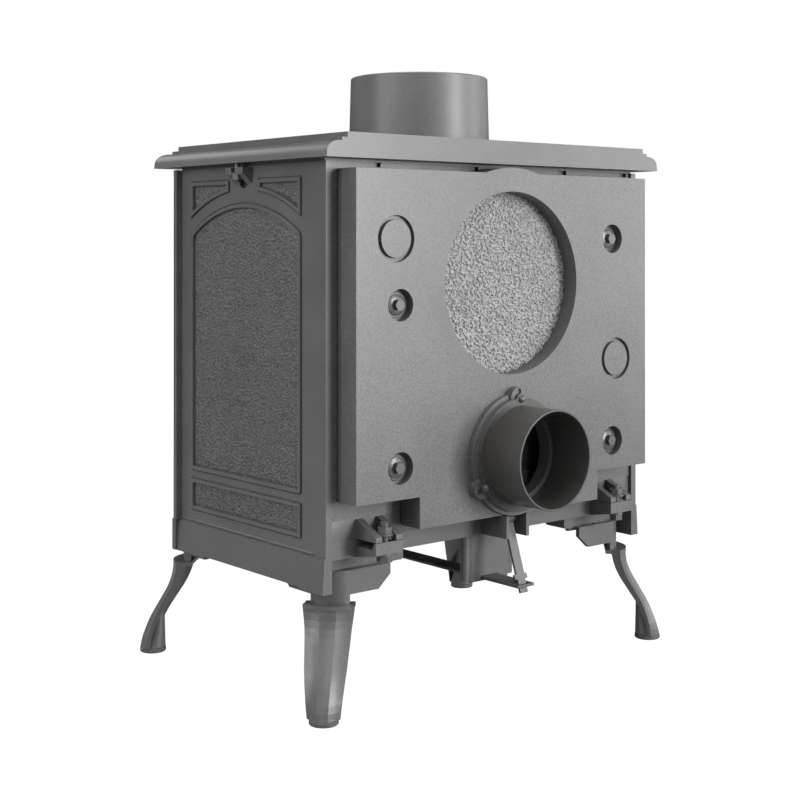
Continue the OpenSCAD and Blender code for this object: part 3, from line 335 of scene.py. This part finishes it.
def insideDistance(x, z, outline):
    # Distance to the outline in mm, negative outside it
    inside, nearest = False, 1e9
    for (x1, z1), (x2, z2) in zip(outline, outline[1:] + outline[:1]):
        if (z1 > z) != (z2 > z) and x < (x2 - x1) * (z - z1) / (z2 - z1) + x1:
            inside = not inside
        dx, dz = x2 - x1, z2 - z1
        share = max(0.0, min(1.0, ((x - x1) * dx + (z - z1) * dz) / (dx * dx + dz * dz)))
        nearest = min(nearest, math.hypot(x - x1 - share * dx, z - z1 - share * dz))
    return nearest if inside else -nearest


pebbleForm = {"wobbleEvery": 5, "wobbleBy": 0.8, "fineSeed": 9, "creaseLevel": 0.3,
              "creaseWidth": 0.28}


def pebble(x, z, look):
    # Flat-topped pebbles of two sizes with narrow creases, like the face of a coarse sand mould
    form = pebbleForm
    p = Vector((x, z, 0))
    seed = Vector((0, 0, look["seed"]))
    fineSeed = Vector((0, 0, look["seed"] + form["fineSeed"]))
    wobble = noise.noise_vector(p / form["wobbleEvery"] + seed) * form["wobbleBy"]
    broad = noise.noise((p + wobble) / look["sizeMm"] + seed)
    fine = noise.noise((p + wobble) / look["fineMm"] + fineSeed)
    level = 0.5 + broad * look["broad"] + fine * look["fine"]
    share = max(0.0, min(1.0, (level - form["creaseLevel"]) / form["creaseWidth"]))
    return share * share * (3 - 2 * share)


def reliefField(name, outline, place, look, material, body):
    # place(x, z, height) gives the point in mm in the part's frame
    step = look["stepMm"]
    edgeSlack = 0.3 * step  # mm that the field may run past its outline
    xs, zs = [p[0] for p in outline], [p[1] for p in outline]
    columns = int((max(xs) - min(xs)) / step) + 1
    rows = int((max(zs) - min(zs)) / step) + 1
    bm = bmesh.new()
    grid = {}
    for i in range(columns + 1):
        for k in range(rows + 1):
            x = min(xs) + (max(xs) - min(xs)) * i / columns
            z = min(zs) + (max(zs) - min(zs)) * k / rows
            edge = insideDistance(x, z, outline)
            if edge < -edgeSlack:
                continue
            fade = max(0.0, min(1.0, edge / look["fadeMm"]))
            height = look["liftMm"] + look["highMm"] * pebble(x, z, look) * fade
            grid[i, k] = bm.verts.new([v * mm for v in place(x, z, height)])
    for i in range(columns):
        for k in range(rows):
            corners = [grid.get(c) for c in ((i, k), (i + 1, k), (i + 1, k + 1), (i, k + 1))]
            if None not in corners:
                bm.faces.new(corners)
    bmesh.ops.recalc_face_normals(bm, faces=bm.faces)
    outward = Vector(place(0, 0, 1)) - Vector(place(0, 0, 0))
    bm.faces.ensure_lookup_table()
    if bm.faces[0].normal.dot(outward) < 0:
        bmesh.ops.reverse_faces(bm, faces=bm.faces)
    return finishMesh(name, bm, material, body)


sideField = {"plane": 216.5, "sizeMm": 2.1, "fineMm": 1.4, "broad": 0.6, "fine": 0.45,
             "highMm": 0.9, "stepMm": 0.8, "fadeMm": 2.0, "liftMm": 0.05, "seed": 3.0}
sidePanels = {
    "archField": archOutline(-6, 306.5, 178.5, 99, 205, 12, 4.2),
    "lowField": boxOutline(-100.8, 88.8, 167.2, 191.8),
    "spandrelFieldRear": spandrelOutline(-6, 306.5, 192.5, 26, 99, 509, 4.2),
    "spandrelFieldFront": spandrelOutline(-6, 306.5, 192.5, 26, 99, 509, 4.2, -1),
}
for side, sign in (("Right", 1), ("Left", -1)):
    for panelName, outline in sidePanels.items():
        reliefField(panelName + side, outline,
                    lambda y, z, h, s=sign: (s * (sideField["plane"] + h), y + shellY, z),
                    dict(sideField, seed=sideField["seed"] + sign), fieldPaint, "stove")

discField = {"plane": 139.0, "z": 404.5, "r": 95.0, "sizeMm": 2.9, "fineMm": 1.7, "broad": 0.6,
             "fine": 0.4, "highMm": 1.9, "stepMm": 0.7, "fadeMm": 1.5, "liftMm": 0.05, "seed": 11.0}
reliefField("crinkledDisc", arcPoints(0, discField["z"], discField["r"], 0, 355, 71),
            lambda x, z, h: (x, discField["plane"] + h + shellY, z),
            discField, discPaintPaledForLight, "stove")

# The panels' floor on the door, counted towards the front
doorField = dict(sideField, plane=145.5, seed=21.0)
doorPanels = {
    "doorLowField": boxOutline(-145.8, 145.8, 220.2, 245.8),
    "doorSpandrelRight": spandrelOutline(0, 237, 239, 36, 150, 492, 4.2),
    "doorSpandrelLeft": spandrelOutline(0, 237, 239, 36, 150, 492, 4.2, -1),
}
for panelName, outline in doorPanels.items():
    reliefField(panelName, outline,
                lambda x, z, h: (x, -doorField["plane"] - h + shellY, z),
                doorField, fieldPaint, "door")
panField = dict(sideField, plane=137.6, seed=31.0, highMm=0.7)
reliefField("ashPanFrontField", boxOutline(-149.8, 149.8, 168.7, 189.8),
            lambda x, z, h: (x, -panField["plane"] - h + shellY, z),
            panField, fieldPaint, "ash_drawer")
print("pebbled fields made")


# Seals of the door and the air box

def roundedRing(left, right, low, high, r, step):
    # Points every step mm along a rounded rectangle, each with its outward direction
    corners = [(right - r, high - r, 0), (left + r, high - r, 90), (left + r, low + r, 180),
               (right - r, low + r, 270)]
    points = []
    for n, (cx, cz, turn) in enumerate(corners):
        for a in range(0, 91, 15):
            c, s = math.cos(math.radians(turn + a)), math.sin(math.radians(turn + a))
            points.append((cx + r * c, cz + r * s, c, s))
        nx, nz, nextTurn = corners[(n + 1) % 4]
        c, s = math.cos(math.radians(nextTurn)), math.sin(math.radians(nextTurn))
        x1, z1, x2, z2 = points[-1][0], points[-1][1], nx + r * c, nz + r * s
        count = int(math.hypot(x2 - x1, z2 - z1) / step)
        points += [(x1 + (x2 - x1) * i / count, z1 + (z2 - z1) * i / count, c, s)
                   for i in range(1, count)]
    return points


def ropeSeal():
    # Knitted rope pressed into the groove round the back of the door
    seal = {"r": 3.1, "y": -134.4, "x": 158, "low": 212, "high": 490, "corner": 4, "step": 1.2,
            "sides": 18, "knitMm": 4.8, "knitDeep": 0.22}
    path = roundedRing(-seal["x"], seal["x"], seal["low"], seal["high"], seal["corner"], seal["step"])
    bm = bmesh.new()
    rings, along = [], 0.0
    for n, (x, z, outX, outZ) in enumerate(path):
        lastX, lastZ = path[n - 1][:2]
        along += math.hypot(x - lastX, z - lastZ) if n else 0
        ring = []
        for i in range(seal["sides"]):
            a = 2 * math.pi * i / seal["sides"]
            stitch = 2 * math.pi * along / seal["knitMm"]
            knit = abs(math.sin(2 * a + stitch)) * abs(math.sin(2 * a - stitch))
            r = seal["r"] - seal["knitDeep"] * (1 - knit)
            ring.append(bm.verts.new([v * mm for v in (
                x + r * math.cos(a) * outX, seal["y"] - r * math.sin(a) + shellY,
                z + r * math.cos(a) * outZ)]))
        rings.append(ring)
    for one, two in zip(rings, rings[1:] + rings[:1]):
        for i in range(seal["sides"]):
            j = (i + 1) % seal["sides"]
            bm.faces.new((one[i], one[j], two[j], two[i]))
    bmesh.ops.recalc_face_normals(bm, faces=bm.faces)
    piece = finishMesh("knittedRopeSeal", bm, ropeKnit, "door")
    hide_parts("door_rope_seal")


def glassGasket():
    # Flat woven tape, 1.5 mm thick, cut to the pane outside and to the window inside
    tape = {"half": 124, "low": 258, "high": 474, "front": -133.0, "thick": 1.5}
    inner = archOutline(0, 237, 225, 116, 262, 14, -1)
    outer = roundedRing(-tape["half"], tape["half"], tape["low"], tape["high"], 1.5, 4)
    bm = bmesh.new()
    edges = []
    for outline in (inner, [(x, z) for x, z, c, s in outer]):
        loop = [bm.verts.new((x * mm, (tape["front"] + shellY) * mm, z * mm)) for x, z in outline]
        edges += [bm.edges.new((loop[i - 1], loop[i])) for i in range(len(loop))]
    bmesh.ops.triangle_fill(bm, edges=edges, use_beauty=True)
    back = bmesh.ops.extrude_face_region(bm, geom=list(bm.faces))
    bmesh.ops.translate(bm, vec=(0, tape["thick"] * mm, 0),
                        verts=[v for v in back["geom"] if isinstance(v, bmesh.types.BMVert)])
    bmesh.ops.recalc_face_normals(bm, faces=bm.faces)
    piece = finishMesh("wovenGlassGasket", bm, ropeKnit, "door", smooth=False)
    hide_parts("glass_gasket")


def boxBead():
    # Black graphite rope, squeezed flat between the back plate and the air box; its near-black also
    # stands in for the shade along the joint, as painted shade
    bead = {"front": 129.1, "thick": 1.3, "outer": 1.0, "inner": 4.0, "x": 203.6, "midX": 125.5,
            "low": 200.5, "midLow": 169.5, "top": 516, "lobeZ": 404.5, "lobeR": 117.5}

    def outline(inset):
        x, midX, top = bead["x"] - inset, bead["midX"] - inset, bead["top"] - inset
        low, midLow, r = bead["low"] + inset, bead["midLow"] + inset, bead["lobeR"] - inset
        turn = math.degrees(math.asin((top - bead["lobeZ"]) / r))
        return ([(-x, low), (-midX, low), (-midX, midLow), (midX, midLow), (midX, low), (x, low),
                 (x, top)] + arcPoints(0, bead["lobeZ"], r, turn, 180 - turn, 12) + [(-x, top)])

    bm = bmesh.new()
    loops = []
    for inset in (bead["outer"], bead["inner"]):
        for y in (bead["front"], bead["front"] + bead["thick"]):
            loops.append([bm.verts.new((x * mm, (y + shellY) * mm, z * mm))
                          for x, z in outline(inset)])
    outerFront, outerRear, innerFront, innerRear = loops
    for one, two in ((outerFront, outerRear), (outerRear, innerRear), (innerRear, innerFront),
                     (innerFront, outerFront)):
        for i in range(len(one)):
            bm.faces.new((one[i - 1], one[i], two[i], two[i - 1]))
    bmesh.ops.recalc_face_normals(bm, faces=bm.faces)
    finishMesh("airBoxBead", bm, graphiteRopeAndJointShade, "stove", smooth=False)


ropeSeal()
glassGasket()
boxBead()
print("seals made")


# Studio and camera

cameraLook = {"place": (1.02845, 1.20469, 0.44903), "azimuth": 140.2, "lookUp": 0.22,
              "lensMm": 64.8, "shiftY": -0.208}
lens = bpy.data.cameras.new("photoCamera")
lens.lens = cameraLook["lensMm"]
lens.sensor_width = 36.0
lens.shift_y = cameraLook["shiftY"]
lens.clip_start = 0.01
photoCamera = bpy.data.objects.new("photoCamera", lens)
photoCamera.location = cameraLook["place"]
photoCamera.rotation_euler = (math.radians(90 + cameraLook["lookUp"]), 0,
                              math.radians(cameraLook["azimuth"]))
bpy.context.scene.collection.objects.link(photoCamera)
bpy.context.scene.camera = photoCamera

floorLook = {"size": 30.0, "bounce": "#8c8c8c", "glow": 1.05}
bm = bmesh.new()
bmesh.ops.create_grid(bm, x_segments=2, y_segments=2, size=floorLook["size"])
floorData = bpy.data.meshes.new("studioFloor")
bm.to_mesh(floorData)
bm.free()
studioFloor = bpy.data.objects.new("studioFloor", floorData)
# Back-lit white acrylic: it shows pure white, and throws back no more than a mid-grey card
floorMaterial, tree = newMaterial("backLitWhiteAcrylicFloor")
white = addNode(tree, "ShaderNodeEmission", values={"Strength": floorLook["glow"]})
card = addNode(tree, "ShaderNodeBsdfDiffuse", values={"Color": linearColour(floorLook["bounce"])})
sight = addNode(tree, "ShaderNodeLightPath")
whole = addNode(tree, "ShaderNodeMixShader", links={
    "Fac": (sight, "Is Camera Ray"), 1: (card, 0), 2: (white, 0)})
addNode(tree, "ShaderNodeOutputMaterial", links={"Surface": (whole, 0)})
floorData.materials.append(floorMaterial)
bpy.context.scene.collection.objects.link(studioFloor)

# The backdrop shows white, and gives only a little light
skyLook = {"backdrop": 1.0, "light": 0.05}
world = bpy.data.worlds.new("studioSky")
world.use_nodes = True
world.node_tree.nodes.clear()
sight = addNode(world.node_tree, "ShaderNodeLightPath")
backdrop = addNode(world.node_tree, "ShaderNodeBackground",
                   values={"Strength": skyLook["backdrop"], "Color": (1, 1, 1, 1)})
glow = addNode(world.node_tree, "ShaderNodeBackground",
               values={"Strength": skyLook["light"], "Color": (1, 1, 1, 1)})
sky = addNode(world.node_tree, "ShaderNodeMixShader", links={
    "Fac": (sight, "Is Camera Ray"), 1: (glow, 0), 2: (backdrop, 0)})
addNode(world.node_tree, "ShaderNodeOutputWorld", links={"Surface": (sky, 0)})
bpy.context.scene.world = world

softboxes = {  # degrees round from the stove's right and up, metres, watts
    "rearKey": {"round": 112, "up": 8, "wide": 0.9, "high": 1.4, "power": 95},
    "farSide": {"round": 150, "up": 8, "wide": 1.2, "high": 1.4, "power": 38},
    "rearSoft": {"round": 90, "up": 25, "wide": 2.5, "high": 2.5, "power": 42},
    "leftFill": {"round": 182, "up": 20, "wide": 1.2, "high": 1.2, "power": 8},
    "sideKey": {"round": 20, "up": 28, "wide": 2.0, "high": 2.0, "power": 26},
    "sideSoft": {"round": 0, "up": 26, "wide": 1.2, "high": 1.2, "power": 24},
    "sideStrip": {"round": -12, "up": 8, "wide": 0.4, "high": 1.4, "power": 26},
    "frontSideFill": {"round": -55, "up": 20, "wide": 1.2, "high": 1.2, "power": 3},
    "frontFill": {"round": -75, "up": 30, "wide": 1.6, "high": 1.2, "power": 14},
    "overhead": {"round": 0, "up": 86, "wide": 3.0, "high": 3.0, "power": 120},
}
aim = Vector((0, 0, 0.33))
reach = 3  # m from the aim to each softbox
for boxName, box in softboxes.items():
    light = bpy.data.lights.new(boxName, "AREA")
    light.shape = "RECTANGLE"
    light.size, light.size_y, light.energy = box["wide"], box["high"], box["power"]
    holder = bpy.data.objects.new(boxName, light)
    turn, lift = math.radians(box["round"]), math.radians(box["up"])
    way = (math.cos(lift) * math.cos(turn), math.cos(lift) * math.sin(turn), math.sin(lift))
    holder.location = aim + reach * Vector(way)
    holder.rotation_euler = (aim - holder.location).to_track_quat("-Z", "Y").to_euler()
    bpy.context.scene.collection.objects.link(holder)
bpy.context.scene.view_settings.view_transform = "Standard"
print("studio ready")
